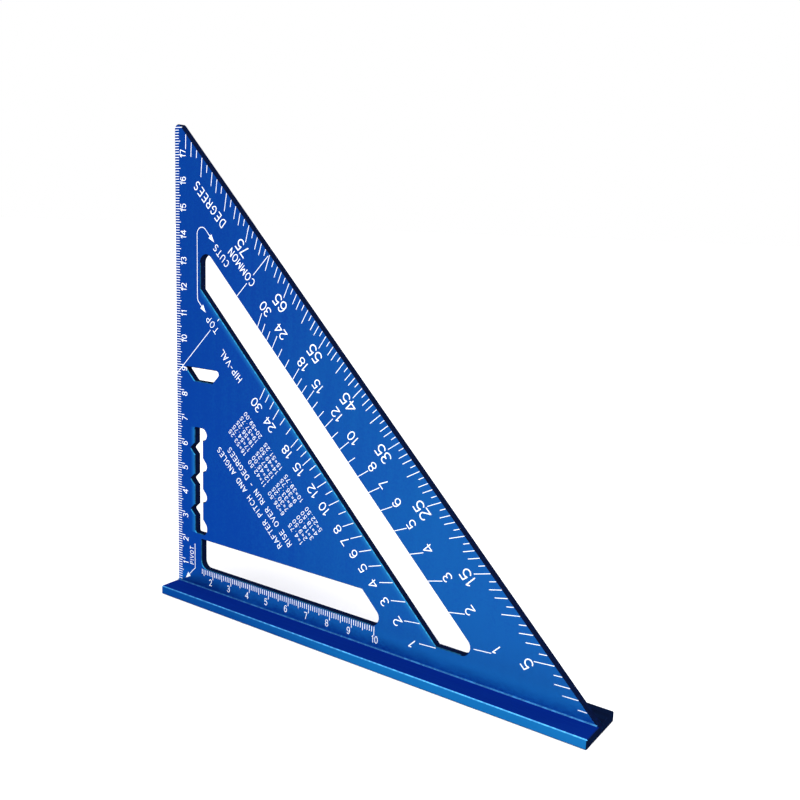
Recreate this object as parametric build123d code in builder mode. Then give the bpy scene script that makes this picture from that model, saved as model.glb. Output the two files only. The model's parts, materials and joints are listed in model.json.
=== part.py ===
"""Speed square: a right-angled rafter square with a T-shaped foot, and its printed scales.

+X runs along the fence from the pivot corner to the far end, +Z up the square edge.
The front of the blade faces -Y. The origin is the centre of the fence's underside.
All sizes are in millimetres. Places on the blade are given from the pivot corner, where
the square edge meets the top of the fence: x along the fence and y up the edge.
"""

from build123d import *
from math import atan2, cos, degrees, radians, sin, sqrt
import os

# ---- blade ----
LEG = 184.0  # both legs of the triangle: the long edge is the line x + y = LEG
BLADE_T = 3.0
TIP_R = 2.0  # rounding of the upper tip
EDGE_BEVEL = 0.25  # broken edges on both faces
TONGUE = 2.0  # the blade's foot that sits in the fence

# ---- fence ----
FENCE_L = 184.5
FENCE_W = 21.0
FENCE_T = 3.5
FENCE_EDGE_R = 0.5
LIP = 0.35  # swaged lips that hold the blade, height and width
LIP_END = 0.6  # the lips stop short of the fence's far end

# ---- openings in the blade ----
RAIL_X = 13.6  # metal left beside the square edge
RAIL_Y = 8.2  # metal left above the fence
LOWER_SLOT_TOP = 20.3
LOWER_SLOT_DIAGONAL = 114.4  # x + y on its slanted end
INNER_DIAGONAL = 133.8  # x + y on the inner side of the long slot
OUTER_DIAGONAL = 151.4  # x + y on the outer side of the long slot
ACUTE_R = 3.2  # rounding of the sharp slot corners
BLUNT_R = 1.0
FOOT_R = 3.0  # lower slot, corner above the pivot
UPPER_R = 0.5  # lower slot, upper corners

WINDOW_LEFT, WINDOW_RIGHT = 4.8, 24.9  # along its top side
WINDOW_TOP, WINDOW_BOTTOM = 89.5, 84.4
WINDOW_LEFT_R, WINDOW_R = 0.6, 1.3

GUIDE_LEFT, GUIDE_RIGHT = 10.1, 14.3  # the notched scribing slot
GUIDE_BOTTOM, GUIDE_TOP = 22.5, 65.8
GUIDE_R = 0.8
NOTCH_PITCH = 12.6
NOTCH_FIRST = 31.8
NOTCH_COUNT = 3
NOTCH_DEPTH, NOTCH_HALF = 2.6, 2.4
NOTCH_TIP_R = 0.7
BAY_FIRST = 25.4  # rounded bays in the other wall, half a pitch off the notches
BAY_COUNT = 4
BAY_R = 2.2
BAY_REACH = 2.2  # how far a bay goes into the wall
BAY_RAMP = 42.0  # angle of its eased upper side, from the wall
BAY_END_R = 2.0  # where the end bays run into the ends of the slot

# ---- printed scales ----
INK_T = 0.05
LINE_W = 0.24
MARGIN = 0.35  # clear of the bevelled edges
MM_MARK, HALF_MARK, CM_MARK = 2.0, 2.7, 3.8  # lengths of the metric marks
FENCE_CM_MARK = 3.3
DEGREE_LONG, DEGREE_MID, DEGREE_SHORT = 7.6, 5.5, 3.0  # measured in x + y
RISE_LONG, RISE_SHORT = 7.0, 4.9  # measured in x + y
COMMON_RUN = 12.0  # a common rafter rises n units in 12 of run
HIP_RUN = 16.45  # hip and valley rafters, a little under the true diagonal run of 16.97
RISE_LABELLED = [1, 2, 3, 4, 5, 6, 7, 8, 10, 12, 15, 18, 24, 30]
RISE_PLAIN = [9, 11, 13, 14, 16, 17, 20, 22, 26, 28]
EDGE_SCALE_START, EDGE_SCALE_END = 1, 180
FENCE_SCALE_START, FENCE_SCALE_END = 14, 100
DEGREE_MARKS = range(1, 89)  # one a degree, clear of both corners
PLUMB_START = 86.0  # height on the square edge where the 45 degree line starts
PLUMB_END = LEG - 1.5  # in x + y
TOP_LEGEND = (124.0, 131.5)  # the two legends that it passes, in x + y
COMMON_LEGEND = (161.8, 168.2)
LOOP_GAP = 1.6  # from the long slot to the arrow that goes round its upper end
LOOP_R = 2.6
LOOP_INNER, LOOP_OUTER = 128.0, 159.1  # its two slanted ends, in x + y
LOOP_FOOT, LOOP_ARM = 3.0, 7.5  # how far they run along x
PIVOT_LINE_X, PIVOT_LINE_TOP = 9.9, 17.6
PIVOT_SKEW = 2.6  # its slanted stretch is the line y = x - PIVOT_SKEW
PIVOT_HEAD_X = 4.4
ARROW_L, ARROW_W = 3.0, 2.0
TO_FENCE_END, TO_PIVOT = -45, 225  # the ways the arrows point

PIVOT = (-FENCE_L / 2, 0, FENCE_T)
MIDDLE = Plane(origin=PIVOT, x_dir=(1, 0, 0), z_dir=(0, -1, 0))
FRONT = MIDDLE.offset(BLADE_T / 2)
BACK = MIDDLE.offset(-BLADE_T / 2)

os.makedirs("parts", exist_ok=True)


def save(part, name):
    """Label a finished piece and write it."""
    part.label = name
    export_step(part, f"parts/{name}.step")


# ---------------------------------------------------------------- blade
with BuildPart() as blade:
    with BuildSketch(MIDDLE):
        with BuildLine():
            Polyline(
                (0, -TONGUE),
                (FENCE_L, -TONGUE),
                (FENCE_L, 0),
                (LEG, 0),
                (0, LEG),
                close=True,
            )
        make_face()
        fillet(vertices().sort_by(Axis.Y)[-1], TIP_R)
    extrude(amount=BLADE_T / 2, both=True)

    # Lower slot, beside the fence: square at the pivot end, slanted at the other.
    with BuildSketch(MIDDLE):
        with BuildLine():
            Polyline(
                (RAIL_X, RAIL_Y),
                (LOWER_SLOT_DIAGONAL - RAIL_Y, RAIL_Y),
                (LOWER_SLOT_DIAGONAL - LOWER_SLOT_TOP, LOWER_SLOT_TOP),
                (RAIL_X, LOWER_SLOT_TOP),
                close=True,
            )
        make_face()
        fillet(vertices().sort_by(Axis.X)[-1], ACUTE_R)
        fillet(vertices().group_by(Axis.X)[0].sort_by(Axis.Y)[0], FOOT_R)
        fillet(vertices().group_by(Axis.Y)[-1], UPPER_R)
    extrude(amount=BLADE_T / 2, both=True, mode=Mode.SUBTRACT)

    # Long slot, parallel to the long edge.
    with BuildSketch(MIDDLE):
        with BuildLine():
            Polyline(
                (RAIL_X, INNER_DIAGONAL - RAIL_X),
                (INNER_DIAGONAL - RAIL_Y, RAIL_Y),
                (OUTER_DIAGONAL - RAIL_Y, RAIL_Y),
                (RAIL_X, OUTER_DIAGONAL - RAIL_X),
                close=True,
            )
        make_face()
        sharp = vertices().sort_by(Axis.X)[-1:] + vertices().sort_by(Axis.Y)[-1:]
        blunt = [corner for corner in vertices() if corner not in sharp]
        fillet(sharp, ACUTE_R)
        fillet(blunt, BLUNT_R)
    extrude(amount=BLADE_T / 2, both=True, mode=Mode.SUBTRACT)

    # Small window near the square edge, a trapezoid with 45 degree ends.
    with BuildSketch(MIDDLE):
        window_h = WINDOW_TOP - WINDOW_BOTTOM
        with BuildLine():
            Polyline(
                (WINDOW_LEFT, WINDOW_TOP),
                (WINDOW_LEFT + window_h, WINDOW_BOTTOM),
                (WINDOW_RIGHT - window_h, WINDOW_BOTTOM),
                (WINDOW_RIGHT, WINDOW_TOP),
                close=True,
            )
        make_face()
        sharp_end = vertices().sort_by(Axis.X)[0]
        fillet([corner for corner in vertices() if corner != sharp_end], WINDOW_R)
        fillet(vertices().sort_by(Axis.X)[0], WINDOW_LEFT_R)
    extrude(amount=BLADE_T / 2, both=True, mode=Mode.SUBTRACT)

    # Scribing slot: V notches in one wall for a pencil point, eased bays in the other.
    with BuildSketch(MIDDLE) as guide:
        with Locations((GUIDE_LEFT, GUIDE_BOTTOM)):
            Rectangle(
                GUIDE_RIGHT - GUIDE_LEFT,
                GUIDE_TOP - GUIDE_BOTTOM,
                align=(Align.MIN, Align.MIN),
            )
        for number in range(NOTCH_COUNT):
            notch_y = NOTCH_FIRST + number * NOTCH_PITCH
            with BuildLine():
                Polyline(
                    (GUIDE_LEFT, notch_y + NOTCH_HALF),
                    (GUIDE_LEFT - NOTCH_DEPTH, notch_y),
                    (GUIDE_LEFT, notch_y - NOTCH_HALF),
                    close=True,
                )
            make_face()
        bay_x = GUIDE_RIGHT + BAY_REACH - BAY_R
        touch = (bay_x + BAY_R * cos(radians(BAY_RAMP)), BAY_R * sin(radians(BAY_RAMP)))
        ramp_y = touch[1] + (touch[0] - GUIDE_RIGHT) * cos(radians(BAY_RAMP)) / sin(radians(BAY_RAMP))
        for number in range(BAY_COUNT):
            bay_y = BAY_FIRST + number * NOTCH_PITCH
            with Locations((bay_x, bay_y)):
                Circle(BAY_R)
            with BuildLine():
                Polyline(
                    (bay_x - BAY_R, bay_y),
                    (bay_x, bay_y),
                    (touch[0], bay_y + touch[1]),
                    (GUIDE_RIGHT, bay_y + ramp_y),
                    (bay_x - BAY_R, bay_y + ramp_y),
                    close=True,
                )
            make_face()
        with Locations((GUIDE_RIGHT, GUIDE_BOTTOM)):
            Rectangle(BAY_REACH, BAY_FIRST - GUIDE_BOTTOM, align=(Align.MIN, Align.MIN))
        with Locations((GUIDE_LEFT - NOTCH_DEPTH, GUIDE_BOTTOM)):
            Rectangle(
                GUIDE_RIGHT + BAY_REACH - GUIDE_LEFT + NOTCH_DEPTH,
                GUIDE_TOP - GUIDE_BOTTOM,
                align=(Align.MIN, Align.MIN),
                mode=Mode.INTERSECT,
            )
        fillet(vertices().group_by(Axis.X)[0], NOTCH_TIP_R)
        for end in (0, -1):
            fillet(vertices().group_by(Axis.Y)[end].sort_by(Axis.X)[0], GUIDE_R)
            fillet(vertices().group_by(Axis.Y)[end].sort_by(Axis.X)[-1], BAY_END_R)
    extrude(amount=BLADE_T / 2, both=True, mode=Mode.SUBTRACT)

    chamfer(blade.faces().filter_by(Axis.Y).edges(), EDGE_BEVEL)
save(blade.part, "blade")

# ---------------------------------------------------------------- fence
with BuildPart() as fence:
    Box(FENCE_L, FENCE_W, FENCE_T, align=(Align.CENTER, Align.CENTER, Align.MIN))
    long_edges = fence.edges().filter_by(Axis.X)
    fillet(long_edges, FENCE_EDGE_R)
    chamfer(fence.faces().filter_by(Axis.X).edges(), EDGE_BEVEL)
    # Groove for the tongue, open at both ends.
    with BuildSketch(Plane.XY.offset(FENCE_T)):
        Rectangle(FENCE_L, BLADE_T)
    extrude(amount=-TONGUE, mode=Mode.SUBTRACT)
    # Swaged lips along both sides of the groove.
    with BuildSketch(Plane.YZ.offset(-FENCE_L / 2)):
        for side in (1, -1):
            with BuildLine():
                Polyline(
                    (side * BLADE_T / 2, FENCE_T),
                    (side * BLADE_T / 2, FENCE_T + LIP),
                    (side * (BLADE_T / 2 + LIP), FENCE_T),
                    close=True,
                )
            make_face()
    extrude(amount=FENCE_L - LIP_END)
save(fence.part, "fence")


# ---------------------------------------------------------------- printed scales
def metric_marks(first, last):
    """Millimetre positions from first to last, in three groups by the mark's length."""
    whole = range(first, last + 1)
    centimetres = [n for n in whole if n % 10 == 0]
    halves = [n for n in whole if n % 10 == 5]
    singles = [n for n in whole if n % 5]
    return centimetres, halves, singles


def edge_marks(first, last, mode=Mode.ADD):
    """Marks from the square edge inwards."""
    for length, marks in zip((CM_MARK, HALF_MARK, MM_MARK), metric_marks(first, last)):
        if marks:
            with Locations(*[(MARGIN, n) for n in marks]):
                Rectangle(length, LINE_W, align=(Align.MIN, Align.CENTER), mode=mode)


def ray_marks(angles, start, end):
    """Marks on rays from the pivot corner, between the diagonals x + y = start and end."""
    for angle in angles:
        reach = cos(radians(angle)) + sin(radians(angle))
        middle = (start + end) / 2 / reach
        at = (middle * cos(radians(angle)), middle * sin(radians(angle)))
        with Locations(Location(at, angle)):
            Rectangle(abs(end - start) / reach, LINE_W)


def drawn_line(points, bend_r=0.0):
    """A line of the scales' width through the points."""
    with BuildLine() as path:
        if bend_r:
            FilletPolyline(*points, radius=bend_r)
        else:
            Polyline(*points)
    trace(path.line, line_width=LINE_W)


def arrow_head(tip, angle):
    """A filled head with its point at tip, pointing along angle."""
    back = (tip[0] - ARROW_L * cos(radians(angle)), tip[1] - ARROW_L * sin(radians(angle)))
    across = (-sin(radians(angle)) * ARROW_W / 2, cos(radians(angle)) * ARROW_W / 2)
    with BuildLine() as outline:
        Polyline(
            tip,
            (back[0] + across[0], back[1] + across[1]),
            (back[0] - across[0], back[1] - across[1]),
            close=True,
        )
    make_face(outline.edges())


def print_edge_scale(face, thickness):
    """Millimetres up the square edge, from the fence to the tip."""
    with BuildPart() as scale:
        with BuildSketch(face):
            edge_marks(EDGE_SCALE_START, EDGE_SCALE_END)
        extrude(amount=thickness)
    return scale.part


def print_fence_scale(face, thickness):
    """Millimetres along the lower side of the lower slot, from the pivot corner."""
    lengths = (FENCE_CM_MARK, HALF_MARK, MM_MARK)
    with BuildPart() as scale:
        with BuildSketch(face):
            for length, marks in zip(lengths, metric_marks(FENCE_SCALE_START, FENCE_SCALE_END)):
                with Locations(*[(n, RAIL_Y - MARGIN) for n in marks]):
                    Rectangle(LINE_W, length, align=(Align.CENTER, Align.MAX))
        extrude(amount=thickness)
    return scale.part


def print_degree_scale(face, thickness):
    """One mark a degree along the long edge, as seen from the pivot corner."""
    outer = LEG - MARGIN * sqrt(2)
    with BuildPart() as scale:
        with BuildSketch(face):
            ray_marks([n for n in DEGREE_MARKS if n % 5 == 0], outer, outer - DEGREE_LONG)
            ray_marks([n for n in DEGREE_MARKS if n % 5 in (2, 3)], outer, outer - DEGREE_MID)
            ray_marks([n for n in DEGREE_MARKS if n % 5 in (1, 4)], outer, outer - DEGREE_SHORT)
        extrude(amount=thickness)
    return scale.part


def print_rise_scale(face, thickness, run, slot_side, way):
    """The pitch of n units of rise in the given run, marked from one side of the long slot.
    way is 1 for marks that go outwards from the pivot and -1 for marks that go inwards."""
    start = slot_side + way * MARGIN * sqrt(2)
    with BuildPart() as scale:
        with BuildSketch(face):
            for marks, length in ((RISE_LABELLED, RISE_LONG), (RISE_PLAIN, RISE_SHORT)):
                ray_marks([degrees(atan2(n, run)) for n in marks], start, start + way * length)
        extrude(amount=thickness)
    return scale.part


def print_plumb_line(face, thickness):
    """The 45 degree line from the square edge to the long edge, with gaps for the legends."""
    edge = MARGIN * sqrt(2)
    stretches = [
        (PLUMB_START + edge, TOP_LEGEND[0]),
        (TOP_LEGEND[1], INNER_DIAGONAL - edge),
        (OUTER_DIAGONAL + edge, COMMON_LEGEND[0]),
        (COMMON_LEGEND[1], PLUMB_END),
    ]
    with BuildPart() as line:
        with BuildSketch(face):
            for stretch in stretches:
                ends = [((d - PLUMB_START) / 2, (d + PLUMB_START) / 2) for d in stretch]
                drawn_line(ends)
            edge_marks(int(PLUMB_START), int(PLUMB_START + CM_MARK + 1), mode=Mode.SUBTRACT)
        extrude(amount=thickness)
    return line.part


def print_loop_arrow(face, thickness):
    """The two-headed arrow round the upper end of the long slot."""
    side_x = RAIL_X - LOOP_GAP
    low = (side_x + LOOP_FOOT, LOOP_INNER - side_x - LOOP_FOOT)
    high = (side_x + LOOP_ARM, LOOP_OUTER - side_x - LOOP_ARM)
    bends = [(side_x, LOOP_INNER - side_x), (side_x, LOOP_OUTER - side_x)]
    with BuildPart() as arrow:
        with BuildSketch(face):
            drawn_line([low, *bends, high], LOOP_R)
            for tip in (low, high):
                arrow_head((tip[0] + ARROW_L / 2, tip[1] - ARROW_L / 2), TO_FENCE_END)
        extrude(amount=thickness)
    return arrow.part


def print_pivot_arrow(face, thickness):
    """The underlined arrow that points at the pivot corner."""
    bend = (PIVOT_LINE_X, PIVOT_LINE_X - PIVOT_SKEW)
    tail = (PIVOT_HEAD_X + ARROW_L / 2, PIVOT_HEAD_X + ARROW_L / 2 - PIVOT_SKEW)
    with BuildPart() as arrow:
        with BuildSketch(face):
            drawn_line([(PIVOT_LINE_X, PIVOT_LINE_TOP), bend, tail])
            arrow_head((PIVOT_HEAD_X, PIVOT_HEAD_X - PIVOT_SKEW), TO_PIVOT)
        extrude(amount=thickness)
    return arrow.part


save(print_edge_scale(FRONT, INK_T), "front_edge_scale")
save(print_fence_scale(FRONT, INK_T), "front_fence_scale")
save(print_degree_scale(FRONT, INK_T), "front_degree_scale")
save(print_rise_scale(FRONT, INK_T, COMMON_RUN, OUTER_DIAGONAL, 1), "front_common_scale")
save(print_rise_scale(FRONT, INK_T, HIP_RUN, INNER_DIAGONAL, -1), "front_hip_valley_scale")
save(print_plumb_line(FRONT, INK_T), "front_plumb_line")
save(print_loop_arrow(FRONT, INK_T), "front_loop_arrow")
save(print_pivot_arrow(FRONT, INK_T), "front_pivot_arrow")
save(print_edge_scale(BACK, -INK_T), "back_edge_scale")
save(print_fence_scale(BACK, -INK_T), "back_fence_scale")
save(print_degree_scale(BACK, -INK_T), "back_degree_scale")
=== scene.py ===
import json
import math

import bmesh
import bpy
from mathutils import Matrix, Vector
from mathutils.geometry import delaunay_2d_cdt


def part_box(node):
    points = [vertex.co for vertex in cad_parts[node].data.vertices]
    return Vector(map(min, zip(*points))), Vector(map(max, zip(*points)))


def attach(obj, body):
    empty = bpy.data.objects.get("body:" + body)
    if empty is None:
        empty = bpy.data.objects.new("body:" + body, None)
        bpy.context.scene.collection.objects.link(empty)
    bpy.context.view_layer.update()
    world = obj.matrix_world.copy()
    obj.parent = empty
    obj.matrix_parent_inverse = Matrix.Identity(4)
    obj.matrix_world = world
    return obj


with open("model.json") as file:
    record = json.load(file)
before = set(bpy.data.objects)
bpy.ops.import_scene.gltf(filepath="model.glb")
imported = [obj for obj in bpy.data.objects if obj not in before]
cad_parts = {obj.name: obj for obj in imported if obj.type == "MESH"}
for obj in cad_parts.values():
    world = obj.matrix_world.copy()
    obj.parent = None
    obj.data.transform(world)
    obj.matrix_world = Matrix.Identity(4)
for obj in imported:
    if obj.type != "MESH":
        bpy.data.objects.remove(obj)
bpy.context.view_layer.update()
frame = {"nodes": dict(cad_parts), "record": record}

# ---------------------------------------------------------------- places on the object
# Places on the blade are given in millimetres from the pivot corner, where the square
# edge meets the top of the fence: x along the fence and y up the square edge.
MM = 0.001
BODY = "root"
MOUNTS = {mount["name"]: mount["pos_m"] for mount in frame["record"]["mounts"]}
BLADE_LOW, BLADE_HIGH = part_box("blade")
FENCE_LOW, FENCE_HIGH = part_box("fence")
PIVOT = Vector((FENCE_LOW.x, 0.0, MOUNTS["guide_face_front"][2]))
INK_T = 0.05  # thickness of the printing ink


def on_front(x, y, lift=0.0):
    """A point on the blade's front face, in metres."""
    return Vector((PIVOT.x + x * MM, BLADE_LOW.y - lift * MM, PIVOT.z + y * MM))


def on_back(x, y, lift=0.0):
    """A point on the blade's back face, in metres."""
    return Vector((PIVOT.x + x * MM, BLADE_HIGH.y + lift * MM, PIVOT.z + y * MM))


# ---------------------------------------------------------------- stroke lettering
def arc(cx, cy, rx, ry, start, end, steps=14):
    """Points along part of an ellipse, angles in degrees."""
    angles = [math.radians(start + (end - start) * n / steps) for n in range(steps + 1)]
    return [(cx + rx * math.cos(a), cy + ry * math.sin(a)) for a in angles]


def turned(strokes, width):
    """The strokes of a letter turned half round."""
    return [[(width - x, 1.0 - y) for x, y in stroke] for stroke in strokes]


SIX = [
    arc(0.30, 0.31, 0.27, 0.31, 0, 360, 24),
    arc(0.33, 0.50, 0.30, 0.50, 48, 200, 16),
]
BOWL = [(0.02, 0.0), (0.02, 1.0), (0.30, 1.0)] + arc(0.30, 0.74, 0.26, 0.26, 90, -90) + [(0.02, 0.48)]
# Each letter is its width and its pen strokes, in a box one unit high.
GLYPHS = {
    "0": (0.60, [arc(0.30, 0.50, 0.28, 0.50, 0, 360, 28)]),
    "1": (0.40, [[(0.05, 0.80), (0.24, 1.0), (0.24, 0.0)]]),
    "2": (0.60, [arc(0.30, 0.71, 0.27, 0.29, 165, -40) + [(0.02, 0.0), (0.60, 0.0)]]),
    "3": (0.60, [
        arc(0.28, 0.75, 0.25, 0.25, 150, -90),
        arc(0.28, 0.26, 0.29, 0.26, 90, -155),
    ]),
    "4": (0.68, [[(0.52, 0.0), (0.52, 1.0), (0.0, 0.26), (0.68, 0.26)]]),
    "5": (0.60, [
        [(0.54, 1.0), (0.12, 1.0), (0.06, 0.54)] + arc(0.28, 0.32, 0.30, 0.32, 125, -150),
    ]),
    "6": (0.60, SIX),
    "7": (0.58, [[(0.02, 1.0), (0.56, 1.0), (0.20, 0.0)]]),
    "8": (0.60, [
        arc(0.30, 0.75, 0.24, 0.25, 0, 360, 20),
        arc(0.30, 0.26, 0.28, 0.26, 0, 360, 22),
    ]),
    "9": (0.60, turned(SIX, 0.60)),
    ".": (0.22, [[(0.10, 0.0), (0.10, 0.04)]]),
    "=": (0.50, [[(0.04, 0.62), (0.46, 0.62)], [(0.04, 0.34), (0.46, 0.34)]]),
    "-": (0.42, [[(0.04, 0.5), (0.38, 0.5)]]),
    " ": (0.40, []),
    "A": (0.68, [[(0.0, 0.0), (0.34, 1.0), (0.68, 0.0)], [(0.12, 0.34), (0.56, 0.34)]]),
    "C": (0.66, [arc(0.36, 0.5, 0.34, 0.5, 48, 312, 22)]),
    "D": (0.64, [
        [(0.02, 0.0), (0.02, 1.0), (0.22, 1.0)] + arc(0.22, 0.5, 0.40, 0.5, 90, -90, 18) + [(0.02, 0.0)],
    ]),
    "E": (0.56, [
        [(0.54, 1.0), (0.02, 1.0), (0.02, 0.0), (0.54, 0.0)],
        [(0.02, 0.52), (0.46, 0.52)],
    ]),
    "F": (0.54, [
        [(0.54, 1.0), (0.02, 1.0), (0.02, 0.0)],
        [(0.02, 0.52), (0.44, 0.52)],
    ]),
    "G": (0.70, [arc(0.36, 0.5, 0.34, 0.5, 48, 345, 22) + [(0.70, 0.46), (0.42, 0.46)]]),
    "H": (0.64, [
        [(0.02, 0.0), (0.02, 1.0)],
        [(0.62, 0.0), (0.62, 1.0)],
        [(0.02, 0.52), (0.62, 0.52)],
    ]),
    "I": (0.14, [[(0.07, 0.0), (0.07, 1.0)]]),
    "L": (0.52, [[(0.02, 1.0), (0.02, 0.0), (0.52, 0.0)]]),
    "M": (0.78, [[(0.02, 0.0), (0.02, 1.0), (0.39, 0.25), (0.76, 1.0), (0.76, 0.0)]]),
    "N": (0.64, [[(0.02, 0.0), (0.02, 1.0), (0.62, 0.0), (0.62, 1.0)]]),
    "O": (0.72, [arc(0.36, 0.5, 0.34, 0.5, 0, 360, 28)]),
    "P": (0.58, [BOWL]),
    "R": (0.60, [BOWL, [(0.30, 0.48), (0.60, 0.0)]]),
    "S": (0.60, [
        arc(0.30, 0.74, 0.26, 0.26, 40, 260, 14) + arc(0.30, 0.26, 0.28, 0.26, 80, -140, 14),
    ]),
    "T": (0.62, [[(0.0, 1.0), (0.62, 1.0)], [(0.31, 1.0), (0.31, 0.0)]]),
    "U": (0.64, [
        [(0.02, 1.0), (0.02, 0.30)] + arc(0.32, 0.30, 0.30, 0.30, 180, 360) + [(0.62, 1.0)],
    ]),
    "V": (0.66, [[(0.0, 1.0), (0.33, 0.0), (0.66, 1.0)]]),
}
LETTER_GAP = 0.17  # between letters, in letter heights
PEN = 0.10  # pen width, in letter heights
CAP_STEPS = 6  # sides of a stroke's round end
SAME_PLACE = 1e-6  # points closer than this are one point
SHARP_TURN = math.radians(30)
INSIDE_ONLY = 1  # keep the triangles inside the outlines
WELD = 1e-4  # corners closer than this are joined


class Line:
    """A line of lettering: its middle height runs through (x, y), in the direction of angle.

    start says how much of it lies before that point, length spreads it out if given, and
    wide widens its letters.
    """

    def __init__(self, text, x, y, height, angle=0.0, start=0.5, length=None, wide=1.0):
        self.text = text
        self.at = Vector((x, y))
        self.height = height
        self.wide = wide
        self.turn = Matrix.Rotation(math.radians(angle), 2)
        self.pen = PEN * height
        widths = [GLYPHS[letter][0] * wide * height for letter in text]
        self.gap = LETTER_GAP * height
        if length:
            self.gap = (length - sum(widths)) / (len(text) - 1)
        self.length = sum(widths) + self.gap * (len(text) - 1)
        self.start = start

    def letters(self):
        """The pen strokes of each letter, along the line and centred on its middle height."""
        left = -self.length * self.start
        for letter in self.text:
            box, strokes = GLYPHS[letter]
            yield [
                [Vector((left + x * self.wide * self.height, (y - 0.5) * self.height)) for x, y in stroke]
                for stroke in strokes
            ]
            left += box * self.wide * self.height + self.gap


def split_at_corners(points):
    """Cuts a pen stroke where it turns sharply, so that every join is a round one."""
    points = [
        here for n, here in enumerate(points)
        if not n or (here - points[n - 1]).length > SAME_PLACE
    ]
    runs = []
    run = [points[0]]
    for before, here, after in zip(points, points[1:], points[2:]):
        run.append(here)
        if (here - before).angle(after - here) > SHARP_TURN:
            runs.append(run)
            run = [here]
    return runs + [run + [points[-1]]]


def ribbon(points, width):
    """A pen stroke as flat polygons: a band along the points, with round ends unless it closes."""
    closed = (points[0] - points[-1]).length < SAME_PLACE
    if closed:
        points = points[:-1]
    count = len(points)
    left, right = [], []
    for n, here in enumerate(points):
        before = points[n - 1] if n or closed else here
        after = points[(n + 1) % count] if n + 1 < count or closed else here
        along = (after - before).normalized()
        across = Vector((-along.y, along.x)) * width / 2
        left.append(here + across)
        right.append(here - across)
    shapes = []
    for n in range(count if closed else count - 1):
        m = (n + 1) % count
        shapes.append([left[n], right[n], right[m], left[m]])
    if not closed:
        for tip, side in ((points[0], left[0]), (points[-1], right[-1])):
            rim = []
            for step in range(CAP_STEPS + 1):
                turn = Matrix.Rotation(math.pi * step / CAP_STEPS, 2)
                rim.append(tip + turn @ (side - tip))
            shapes.append(rim)
    return shapes


def merged(shapes):
    """Overlapping flat polygons as one sheet of triangles: its corners and its triangles."""
    corners, outlines = [], []
    for shape in shapes:
        area = sum(a.x * b.y - a.y * b.x for a, b in zip(shape, shape[1:] + shape[:1]))
        outlines.append(list(range(len(corners), len(corners) + len(shape))))
        corners += shape if area > 0 else shape[::-1]
    spots, _, parts, _, _, owners = delaunay_2d_cdt(corners, [], outlines, INSIDE_ONLY, WELD)
    return spots, [part for part, owner in zip(parts, owners) if owner]


def lettering(name, face, lines):
    """One printed piece: lines of lettering on the front or back face, as thin raised ink."""
    mesh = bmesh.new()
    mirror = Vector((-1.0 if face is on_back else 1.0, 1.0))
    for line in lines:
        for strokes in line.letters():
            runs = [run for stroke in strokes for run in split_at_corners(stroke)]
            if not runs:
                continue
            spots, parts = merged([shape for run in runs for shape in ribbon(run, line.pen)])
            places = [line.at + line.turn @ (spot * mirror) for spot in spots]
            used = sorted({n for part in parts for n in part})
            verts = {n: mesh.verts.new(face(*places[n])) for n in used}
            for part in parts:
                mesh.faces.new([verts[n] for n in part])
    outward = (face(0, 0, 1.0) - face(0, 0)).normalized()
    made = bmesh.ops.extrude_face_region(mesh, geom=mesh.faces[:], use_keep_orig=True)
    raised = [item for item in made["geom"] if isinstance(item, bmesh.types.BMVert)]
    bmesh.ops.translate(mesh, verts=raised, vec=outward * INK_T * MM)
    bmesh.ops.recalc_face_normals(mesh, faces=mesh.faces[:])
    data = bpy.data.meshes.new(name)
    mesh.to_mesh(data)
    mesh.free()
    piece = bpy.data.objects.new(name, data)
    bpy.context.scene.collection.objects.link(piece)
    data.materials.append(INK)
    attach(piece, BODY)


# ---------------------------------------------------------------- materials
LONG_SLOT = (133.8, 151.4)  # x + y on its two sides
SLOT_START = (13.6, 8.2)  # the x where its upper end starts, and the y where its lower end does
SLOT_BAND = 3.4  # width of the band of painted glow beside it
NOTCHED_WALL = 10.1  # x of the notched slot's straight wall
NOTCHED_ENDS = (22.5, 65.8)  # y of that slot's bottom and top
NOTCHED_BAND = 2.6  # width of the band of painted glow beside it
EVERYWHERE = 1000.0  # beyond any place on the blade
FOOT_LIGHT = (PIVOT.z - MM, PIVOT.z + 12 * MM)  # heights where the painted light on the foot starts and ends
REAR_SHADOW_SPAN = (FENCE_HIGH.x * 0.55, FENCE_HIGH.x * 0.8)  # where the painted shadow on the rear flange's top starts and is complete
THIN_INK = (0.50, 0.66, 0.90, 1)
FULL_INK = (0.93, 0.96, 0.98, 1)
# Frequencies of the noise, per metre.
CLOUD_SIZE = 22.0
PATCH_SIZE = 60.0
STREAK_SIZE = 260.0
# this one breaks up the painted edge highlights
HIGHLIGHT_BREAKUP_SIZE = 700.0
THIN_SIZE = 900.0
GRAIN_SIZE = 1100.0


def new_material(name):
    """An empty node material: its node tree, its shader and a helper that adds a node."""
    material = bpy.data.materials.new(name)
    material.use_nodes = True
    tree = material.node_tree
    shader = tree.nodes["Principled BSDF"]

    def node(kind, **settings):
        made = tree.nodes.new(kind)
        for key, value in settings.items():
            if key in made.inputs:
                made.inputs[key].default_value = value
            else:
                setattr(made, key, value)
        return made

    return material, tree, shader, node


def mapped(tree, node, scale):
    """Object coordinates in metres, stretched by scale."""
    place = node("ShaderNodeTexCoord")
    stretch = node("ShaderNodeMapping", Scale=scale)
    tree.links.new(place.outputs["Object"], stretch.inputs["Vector"])
    return stretch.outputs["Vector"]


def noise(tree, node, scale, size, detail=3.0, rough=0.55):
    """Seamless noise; size is its frequency per metre and scale stretches it."""
    made = node("ShaderNodeTexNoise", Scale=size, Detail=detail, Roughness=rough)
    tree.links.new(mapped(tree, node, scale), made.inputs["Vector"])
    return made.outputs["Fac"]


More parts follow.
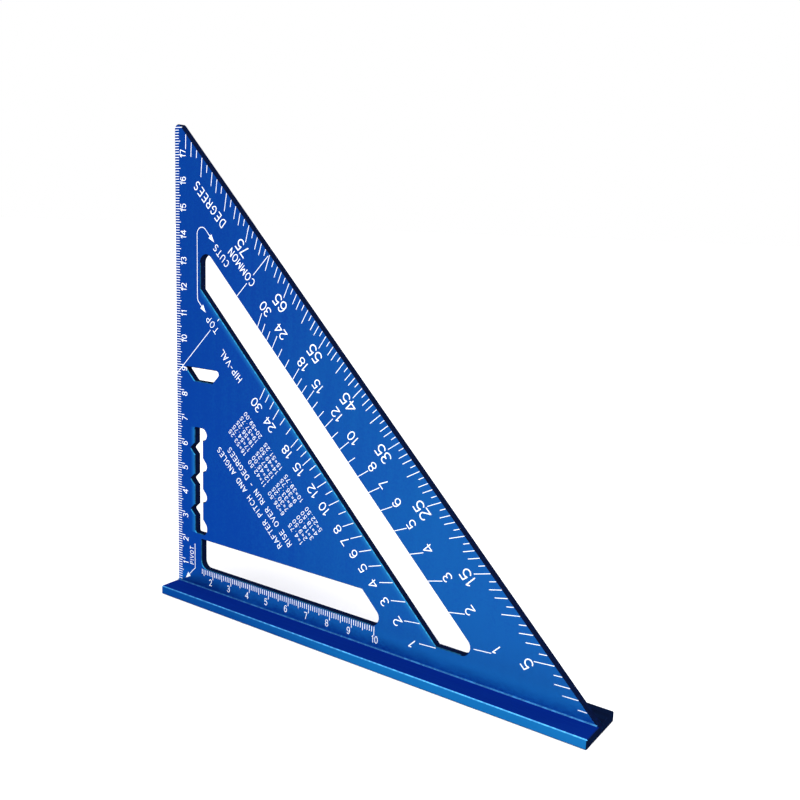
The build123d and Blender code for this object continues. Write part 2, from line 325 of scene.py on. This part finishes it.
def ramp(tree, node, value, low, high, to_low=0.0, to_high=1.0):
    """value between low and high, smoothly, as a number between to_low and to_high."""
    made = node("ShaderNodeMapRange", interpolation_type="SMOOTHSTEP")
    made.inputs["From Min"].default_value = low
    made.inputs["From Max"].default_value = high
    made.inputs["To Min"].default_value = to_low
    made.inputs["To Max"].default_value = to_high
    tree.links.new(value, made.inputs["Value"])
    return made.outputs["Result"]


def maths(tree, node, operation, first, second):
    """One operation on two values, each a number or a socket."""
    made = node("ShaderNodeMath", operation=operation)
    for number, value in enumerate((first, second)):
        if isinstance(value, (int, float)):
            made.inputs[number].default_value = value
        else:
            tree.links.new(value, made.inputs[number])
    return made.outputs["Value"]


def mixed(tree, node, factor, first, second):
    """Two colours, each a colour or a socket, mixed by factor."""
    made = node("ShaderNodeMix", data_type="RGBA")
    for name, value in (("A", first), ("B", second)):
        socket = [s for s in made.inputs if s.name == name and s.type == "RGBA"][0]
        if isinstance(value, tuple):
            socket.default_value = value
        else:
            tree.links.new(value, socket)
    tree.links.new(factor, made.inputs["Factor"])
    return [s for s in made.outputs if s.type == "RGBA"][0]


def anodised(name, left, right, foot_light_colour, top, wall_shade, painted_highlight, low, edge_highlight_amount, glow_amount, grain, streak):
    """Dyed aluminium.

    The broad faces show the dye with painted shading: it runs from the darker left colour at the
    pivot end to the lighter right colour at the far end. Where low gives an amount they take the
    foot colour, painted light on the strip above the fence. Upward faces take the top colour and
    cut walls the wall colour, both painted shade, and the fence's rear flange top takes the wall
    colour towards its far end as a painted shadow; the walls that face the pivot end keep its dye.
    The highlight colour is a painted highlight: on the broken edges where the edge amount gives
    one, and on the painted glow beside the slots where the glow amount gives one. grain and streak
    stretch the fine noise along the metal.
    """
    material, tree, shader, node = new_material(name)
    place = node("ShaderNodeTexCoord")
    normal = node("ShaderNodeSeparateXYZ")
    spot = node("ShaderNodeSeparateXYZ")
    tree.links.new(place.outputs["Normal"], normal.inputs["Vector"])
    tree.links.new(place.outputs["Object"], spot.inputs["Vector"])
    broad = maths(tree, node, "ABSOLUTE", normal.outputs["Y"], 0.0)
    cloud = noise(tree, node, (1, 1, 1), CLOUD_SIZE)
    fine = noise(tree, node, grain, GRAIN_SIZE, 4.0, 0.65)
    lines = noise(tree, node, streak, STREAK_SIZE, 3.0, 0.6)
    highlight_breakup = noise(tree, node, (1, 1, 1), HIGHLIGHT_BREAKUP_SIZE, 4.0, 0.7)

    # Painted shading: darker towards the pivot end and lighter towards the far end, broken up by noise.
    along = ramp(tree, node, spot.outputs["X"], FENCE_LOW.x, FENCE_HIGH.x * 0.6)
    shade = maths(tree, node, "ADD", along, ramp(tree, node, cloud, 0.3, 0.7, -0.12, 0.12))
    shade = maths(tree, node, "ADD", shade, ramp(tree, node, fine, 0.3, 0.7, -0.16, 0.16))
    shade = maths(tree, node, "ADD", shade, ramp(tree, node, lines, 0.3, 0.7, -0.07, 0.07))
    dye_and_painted_light = mixed(tree, node, shade, left, right)
    # Painted light on the blade's foot, where the fence throws light back.
    dye_and_painted_light = mixed(tree, node, low(tree, node, broad, spot), dye_and_painted_light, foot_light_colour)
    # Painted shade: upward faces and cut walls darker than the broad faces, and the fence's rear flange
    # top darkened towards its far end as a painted shadow.
    upward = ramp(tree, node, normal.outputs["Z"], 0.5, 0.9)
    rear = maths(tree, node, "GREATER_THAN", spot.outputs["Y"], BLADE_HIGH.y)
    rear_shadow = maths(tree, node, "MULTIPLY", rear, ramp(tree, node, spot.outputs["X"], *REAR_SHADOW_SPAN))
    lit = maths(tree, node, "SUBTRACT", 1.0, rear_shadow)
    side = mixed(tree, node, maths(tree, node, "MULTIPLY", upward, lit), wall_shade, top)
    side = mixed(tree, node, ramp(tree, node, fine, 0.35, 0.75, 0.0, 0.08), side, left)
    leftward = ramp(tree, node, normal.outputs["X"], -0.4, -0.7)
    side = mixed(tree, node, leftward, side, left)
    face = ramp(tree, node, broad, 0.8, 0.95)
    colour = mixed(tree, node, face, side, dye_and_painted_light)
    # Painted highlights on the broken edges, broken up by noise, and painted glow beside the slots.
    on_edge = maths(tree, node, "MULTIPLY", ramp(tree, node, broad, 0.25, 0.45),
                    ramp(tree, node, broad, 0.985, 0.9))
    highlighted = maths(tree, node, "MULTIPLY", on_edge, edge_highlight_amount(tree, node, normal, spot))
    highlighted = maths(tree, node, "MULTIPLY", highlighted, ramp(tree, node, highlight_breakup, 0.42, 0.62, 0.5, 1.0))
    highlighted = maths(tree, node, "MAXIMUM", highlighted, glow_amount(tree, node, broad, spot))
    colour = mixed(tree, node, highlighted, colour, painted_highlight)
    tree.links.new(colour, shader.inputs["Base Color"])
    tree.links.new(face, shader.inputs["Metallic"])
    shader.inputs["Specular IOR Level"].default_value = 0.0
    shader.inputs["Specular Tint"].default_value = (0.05, 0.3, 0.8, 1)
    rough = maths(tree, node, "ADD", ramp(tree, node, fine, 0.3, 0.7, 0.34, 0.44),
                  ramp(tree, node, cloud, 0.3, 0.7, -0.04, 0.06))
    tree.links.new(rough, shader.inputs["Roughness"])
    bump = node("ShaderNodeBump", Strength=0.25, Distance=0.00002)
    height = maths(tree, node, "ADD", fine, maths(tree, node, "MULTIPLY", lines, 0.6))
    tree.links.new(height, bump.inputs["Height"])
    tree.links.new(bump.outputs["Normal"], shader.inputs["Normal"])
    return material


def blade_diagonal(tree, node, spot):
    """x + y on the blade, in millimetres."""
    total = maths(tree, node, "ADD", spot.outputs["X"], spot.outputs["Z"])
    total = maths(tree, node, "SUBTRACT", total, PIVOT.x + PIVOT.z)
    return maths(tree, node, "DIVIDE", total, MM)


def between(tree, node, value, low, high):
    """1 where value is between low and high, and 0 elsewhere."""
    return maths(tree, node, "MULTIPLY", maths(tree, node, "GREATER_THAN", value, low),
                 maths(tree, node, "LESS_THAN", value, high))


def blade_edges(tree, node, normal, spot):
    """Painted highlights on the broken edges: the square edge, and those that face away from the
    pivot, apart from the long outer edge."""
    outward = maths(tree, node, "ADD", normal.outputs["X"], normal.outputs["Z"])
    inner = maths(tree, node, "LESS_THAN", blade_diagonal(tree, node, spot), LONG_SLOT[1])
    highlighted = ramp(tree, node, maths(tree, node, "MULTIPLY", inner, outward), 0.6, 0.9, 0.0, 0.95)
    square = maths(tree, node, "LESS_THAN", spot.outputs["X"], PIVOT.x + MM)
    leftward = ramp(tree, node, normal.outputs["X"], -0.5, -0.7, 0.0, 0.9)
    square = maths(tree, node, "MULTIPLY", square, leftward)
    return maths(tree, node, "MAXIMUM", highlighted, square)


def blade_burnish(tree, node, broad, spot):
    """Painted glow on the faces: a lighter band along the long slot's inner side, and one beside
    the notched slot's straight wall."""
    diagonal = blade_diagonal(tree, node, spot)
    x = maths(tree, node, "DIVIDE", maths(tree, node, "SUBTRACT", spot.outputs["X"], PIVOT.x), MM)
    y = maths(tree, node, "DIVIDE", maths(tree, node, "SUBTRACT", spot.outputs["Z"], PIVOT.z), MM)
    slot = maths(tree, node, "MULTIPLY", between(tree, node, diagonal, 0.0, LONG_SLOT[0]),
                 ramp(tree, node, diagonal, LONG_SLOT[0] - SLOT_BAND, LONG_SLOT[0], 0.0, 0.22))
    slot = maths(tree, node, "MULTIPLY", slot, between(tree, node, x, SLOT_START[0], EVERYWHERE))
    slot = maths(tree, node, "MULTIPLY", slot, between(tree, node, y, SLOT_START[1], EVERYWHERE))
    notched = maths(tree, node, "MULTIPLY", between(tree, node, x, 0.0, NOTCHED_WALL),
                    ramp(tree, node, x, NOTCHED_WALL - NOTCHED_BAND, NOTCHED_WALL, 0.0, 0.34))
    notched = maths(tree, node, "MULTIPLY", notched, between(tree, node, y, *NOTCHED_ENDS))
    both = maths(tree, node, "MAXIMUM", slot, notched)
    return maths(tree, node, "MULTIPLY", both, ramp(tree, node, broad, 0.9, 0.99))


def blade_foot(tree, node, broad, spot):
    """The strip above the fence, lighter where it catches the light that the fence throws back,
    and least so by the pivot."""
    height = ramp(tree, node, spot.outputs["Z"], *FOOT_LIGHT, 1.0, 0.0)
    along = ramp(tree, node, spot.outputs["X"], FENCE_LOW.x, FENCE_LOW.x * 0.4, 0.3, 0.95)
    return maths(tree, node, "MULTIPLY", maths(tree, node, "MULTIPLY", height, height), along)


def fence_edges(tree, node, normal, spot):
    """Painted highlights on the edges: the upper long ones, and the lips a little, more so towards the
    far end.
    """
    upper = ramp(tree, node, normal.outputs["Z"], 0.2, 0.5)
    from_blade = maths(tree, node, "ABSOLUTE", spot.outputs["Y"], 0.0)
    outer = ramp(tree, node, from_blade, BLADE_HIGH.y, BLADE_HIGH.y + 2 * MM, 0.35, 1.0)
    upper = maths(tree, node, "MULTIPLY", upper, outer)
    return maths(tree, node, "MULTIPLY", upper,
                 ramp(tree, node, spot.outputs["X"], FENCE_LOW.x, FENCE_HIGH.x, 0.6, 1.3))


def nothing(tree, node, broad, spot):
    """For a part without the effect."""
    return maths(tree, node, "MULTIPLY", broad, 0.0)


def printed(name):
    """White ink: slightly thin in places and faintly uneven on its surface."""
    material, tree, shader, node = new_material(name)
    thin = noise(tree, node, (1, 1, 1), THIN_SIZE, 3.0, 0.6)
    patch = noise(tree, node, (1, 1, 1), PATCH_SIZE)
    amount = maths(tree, node, "ADD", maths(tree, node, "MULTIPLY", thin, 0.6),
                   maths(tree, node, "MULTIPLY", patch, 0.4))
    colour = mixed(tree, node, ramp(tree, node, amount, 0.3, 0.5), THIN_INK, FULL_INK)
    tree.links.new(colour, shader.inputs["Base Color"])
    tree.links.new(ramp(tree, node, thin, 0.3, 0.7, 0.45, 0.65), shader.inputs["Roughness"])
    bump = node("ShaderNodeBump", Strength=0.2, Distance=0.00001)
    tree.links.new(thin, bump.inputs["Height"])
    tree.links.new(bump.outputs["Normal"], shader.inputs["Normal"])
    return material


BLADE = anodised(
    "blade_anodised",
    # left and right: the dye, painted darker at the pivot end and lighter at the far end as shading
    left=(0.005, 0.044, 0.27, 1),
    right=(0.0075, 0.092, 0.335, 1),
    # the colour of the painted light on the strip above the fence
    foot_light_colour=(0.015, 0.28, 0.85, 1),
    # painted shade: near black on upward faces and cut walls
    top=(0.002, 0.004, 0.018, 1),
    wall_shade=(0.002, 0.004, 0.018, 1),
    # painted highlight colour, for the edges and the painted glow
    painted_highlight=(0.03, 0.30, 0.60, 1),
    low=blade_foot,
    edge_highlight_amount=blade_edges,
    glow_amount=blade_burnish,
    grain=(1, 1, 1),
    streak=(1.0, 1.0, 0.06),
)
FENCE = anodised(
    "fence_anodised",
    # left and right: the dye, painted darker at the pivot end and lighter at the far end as shading
    left=(0.006, 0.06, 0.25, 1),
    right=(0.008, 0.14, 0.385, 1),
    foot_light_colour=(0.008, 0.14, 0.385, 1),
    # painted shade: deep blue on upward faces, near black on cut walls and in the painted shadow on the
    # rear flange's top
    top=(0.001, 0.014, 0.155, 1),
    wall_shade=(0.002, 0.004, 0.016, 1),
    # painted highlight colour, for the edges
    painted_highlight=(0.09, 0.45, 0.90, 1),
    low=nothing,
    edge_highlight_amount=fence_edges,
    glow_amount=nothing,
    grain=(0.05, 1, 1),
    streak=(0.03, 1.0, 1.0),
)
INK = printed("white_ink")
for name, cad in frame["nodes"].items():
    look = {"blade": BLADE, "fence": FENCE}.get(name, INK)
    cad.data.materials.clear()
    cad.data.materials.append(look)

# ---------------------------------------------------------------- printed lettering
DIAGONAL = 135.0  # reads along the long edge, with its top towards the pivot


def by_diagonal(s, t):
    """The place where x + y = s and y - x = t."""
    return (s - t) / 2, (s + t) / 2


def by_ray(angle, s, aside=0.0):
    """The place where x + y = s on a ray from the pivot, moved aside towards the fence's far end."""
    x = s / (1 + math.tan(math.radians(angle)))
    return x + aside / math.sqrt(2), s - x - aside / math.sqrt(2)


def edge_numerals(way):
    """Centimetres up the square edge. Two digits stand about their mark, and one stands before it."""
    lines = []
    for n in range(1, 18):
        at = n * 10 + way * (EDGE_DOUBLE if n > 9 else EDGE_SINGLE)
        lines.append(Line(str(n), EDGE_X, at, EDGE_H, 90, wide=EDGE_WIDE))
    return lines


def fence_numerals(way):
    """Centimetres along the fence."""
    lines = []
    for n in range(2, 11):
        at = n * 10 + way * (FENCE_DOUBLE if n > 9 else FENCE_SINGLE)
        lines.append(Line(str(n), at, FENCE_Y, FENCE_H, wide=EDGE_WIDE))
    return lines


def degree_numerals():
    """Every tenth degree from 5 to 75, beside the inner end of its mark."""
    lines = []
    for angle in range(5, 76, 10):
        aside = DEGREE_SPREAD * math.tan(math.radians(angle - 45))
        lines.append(Line(str(angle), *by_ray(angle, DEGREE_S, aside), DEGREE_H, DIAGONAL, wide=WIDE))
    return lines


def rise_numerals(run, s, spread):
    """Units of rise, beside the marks of a rafter scale with this run."""
    lines = []
    for n in RISES:
        angle = math.degrees(math.atan2(n, run))
        aside = spread * math.tan(math.radians(angle - 45))
        lines.append(Line(str(n), *by_ray(angle, s, aside), RISE_H, DIAGONAL, wide=WIDE))
    return lines


def pitch_table():
    """Rise in 12 against degrees, to the nearest quarter: four blocks of five rows."""
    lines = []
    for n in range(1, 21):
        block, row = divmod(n - 1, 5)
        angle = round(math.degrees(math.atan2(n, COMMON_RUN)) * 4) / 4
        text = f"{n}={angle:.2f}"
        at = by_diagonal(TABLE_S + row * TABLE_ROW, TABLE_T + block * TABLE_BLOCK)
        lines.append(Line(text, *at, TABLE_H, DIAGONAL, 1.0, TABLE_PITCH * len(text)))
    return lines


# Centimetre numerals: the line they stand on, their height, and how far one and two digits are
# moved along it from their mark.
EDGE_X = 4.5
EDGE_H = 2.75
EDGE_SINGLE = -1.45
EDGE_DOUBLE = 0.45
EDGE_WIDE = 0.86
FENCE_Y = 3.2
FENCE_H = 2.5
FENCE_SINGLE = -1.3
FENCE_DOUBLE = 0.4
# Degrees and units of rise: the x + y of their line, their height, and how far they are moved
# aside, so as to stand clear of their marks.
WIDE = 1.1
DEGREE_S = 172.0
DEGREE_H = 4.15
DEGREE_SPREAD = -2.2
RISE_H = 3.45
RISES = (1, 2, 3, 4, 5, 6, 7, 8, 10, 12, 15, 18, 24, 30)
COMMON_RUN = 12
COMMON_S = 162.4
COMMON_SPREAD = 2.4
HIP_RUN = 16.45
HIP_S = 122.4
HIP_SPREAD = -1.2
# The pitch table: its first row and block, the steps to the next ones, and its letters.
TABLE_S = 96.8
TABLE_ROW = 3.95
TABLE_T = -23.3
TABLE_BLOCK = 20.5
TABLE_H = 1.75
TABLE_PITCH = 1.45

lettering("front_edge_numerals", on_front, edge_numerals(1))
lettering("front_fence_numerals", on_front, fence_numerals(1))
lettering("front_degree_numerals", on_front, degree_numerals())
lettering("front_common_numerals", on_front, rise_numerals(COMMON_RUN, COMMON_S, COMMON_SPREAD))
lettering("front_hip_valley_numerals", on_front, rise_numerals(HIP_RUN, HIP_S, HIP_SPREAD))
lettering("front_degrees_legend", on_front, [
    Line("DEGREES", *by_diagonal(170.6, 133.2), 3.25, DIAGONAL, 0.5, 20.8),
])
lettering("front_common_legend", on_front, [
    Line("COMMON", *by_diagonal(164.8, 94.4), 2.9, DIAGONAL, 0.5, 16.6),
])
lettering("front_cuts_legend", on_front, [
    Line("CUTS", *by_diagonal(158.0, 108.5), 2.6, DIAGONAL, 0.5, 9.4),
    Line("TOP", *by_diagonal(127.2, 87.1), 2.6, DIAGONAL, 0.5, 7.1),
])
lettering("front_hip_valley_legend", on_front, [
    Line("HIP-VAL", *by_diagonal(122.2, 62.6), 2.6, DIAGONAL, 0.5, 14.1),
])
lettering("front_pivot_legend", on_front, [Line("PIVOT", 8.05, 12.3, 1.9, 90, 0.5, 7.4)])
lettering("front_table_title", on_front, [
    Line("RAFTER PITCH AND ANGLES", *by_diagonal(82.6, 3.6), 2.3, DIAGONAL, 0.5, 46.0),
    Line("RISE OVER RUN - DEGREES", *by_diagonal(89.1, -0.3), 2.3, DIAGONAL, 0.5, 44.8),
])
lettering("front_pitch_table", on_front, pitch_table())
lettering("back_edge_numerals", on_back, edge_numerals(-1))
lettering("back_fence_numerals", on_back, fence_numerals(-1))
lettering("back_degree_numerals", on_back, degree_numerals())

# ---------------------------------------------------------------- floor, light and camera
SIZE = FENCE_HIGH.x - FENCE_LOW.x
FLOOR = 40.0  # half its width

paper, _, paper_shader, _ = new_material("paper")
paper_shader.inputs["Base Color"].default_value = (0.93, 0.925, 0.93, 1)
paper_shader.inputs["Roughness"].default_value = 0.9
paper_shader.inputs["Emission Color"].default_value = (1, 1, 1, 1)
paper_shader.inputs["Emission Strength"].default_value = 0.07
floor_data = bpy.data.meshes.new("floor")
floor_corners = [(-FLOOR, -FLOOR, 0), (FLOOR, -FLOOR, 0), (FLOOR, FLOOR, 0), (-FLOOR, FLOOR, 0)]
floor_data.from_pydata(floor_corners, [], [(0, 1, 2, 3)])
floor_data.materials.append(paper)
floor = bpy.data.objects.new("floor", floor_data)
bpy.context.scene.collection.objects.link(floor)


def softbox(name, place, aim, width, power):
    """A square studio light at place, turned to face aim."""
    light = bpy.data.lights.new(name, "AREA")
    light.shape = "SQUARE"
    light.size = width
    light.energy = power
    lamp = bpy.data.objects.new(name, light)
    lamp.location = place
    lamp.rotation_euler = (Vector(aim) - Vector(place)).to_track_quat("-Z", "Y").to_euler()
    bpy.context.scene.collection.objects.link(lamp)


MIDDLE = Vector((0, 0, SIZE / 3))
softbox("key", (0.9, -0.7, 0.9), MIDDLE, 0.5, 10.0)
softbox("fill", (-0.8, -0.9, 0.5), MIDDLE, 0.9, 1.0)
sky = bpy.data.lights.new("sky", "SUN")
sky.energy = 1.0
sky.angle = math.radians(40)
sky_lamp = bpy.data.objects.new("sky", sky)
sky_lamp.rotation_euler = Vector((-0.3, 0.3, -1.0)).to_track_quat("-Z", "Y").to_euler()
bpy.context.scene.collection.objects.link(sky_lamp)

world = bpy.data.worlds.new("studio")
bpy.context.scene.world = world
world.use_nodes = True
world.node_tree.nodes["Background"].inputs["Color"].default_value = (1, 1, 1, 1)
world.node_tree.nodes["Background"].inputs["Strength"].default_value = 1.0

YAW = math.radians(34.355)
PITCH = math.radians(-10.575)
ROLL = math.radians(2.073)
CAMERA = Vector((0.18246, -0.24605, 0.14874))
camera_data = bpy.data.cameras.new("camera")
camera_data.sensor_width = 36.0
camera_data.lens = 41.08
camera_data.clip_start = 0.01
camera_data.clip_end = 50.0
camera = bpy.data.objects.new("camera", camera_data)
bpy.context.scene.collection.objects.link(camera)
forward = Vector((-math.sin(YAW) * math.cos(PITCH), math.cos(YAW) * math.cos(PITCH), math.sin(PITCH)))
level = Vector((math.cos(YAW), math.sin(YAW), 0))
upright = level.cross(forward)
right = level * math.cos(ROLL) + upright * math.sin(ROLL)
up = upright * math.cos(ROLL) - level * math.sin(ROLL)
camera.matrix_world = Matrix((
    (right.x, up.x, -forward.x, CAMERA.x),
    (right.y, up.y, -forward.y, CAMERA.y),
    (right.z, up.z, -forward.z, CAMERA.z),
    (0, 0, 0, 1),
))
bpy.context.scene.camera = camera
bpy.context.scene.view_settings.view_transform = "Standard"
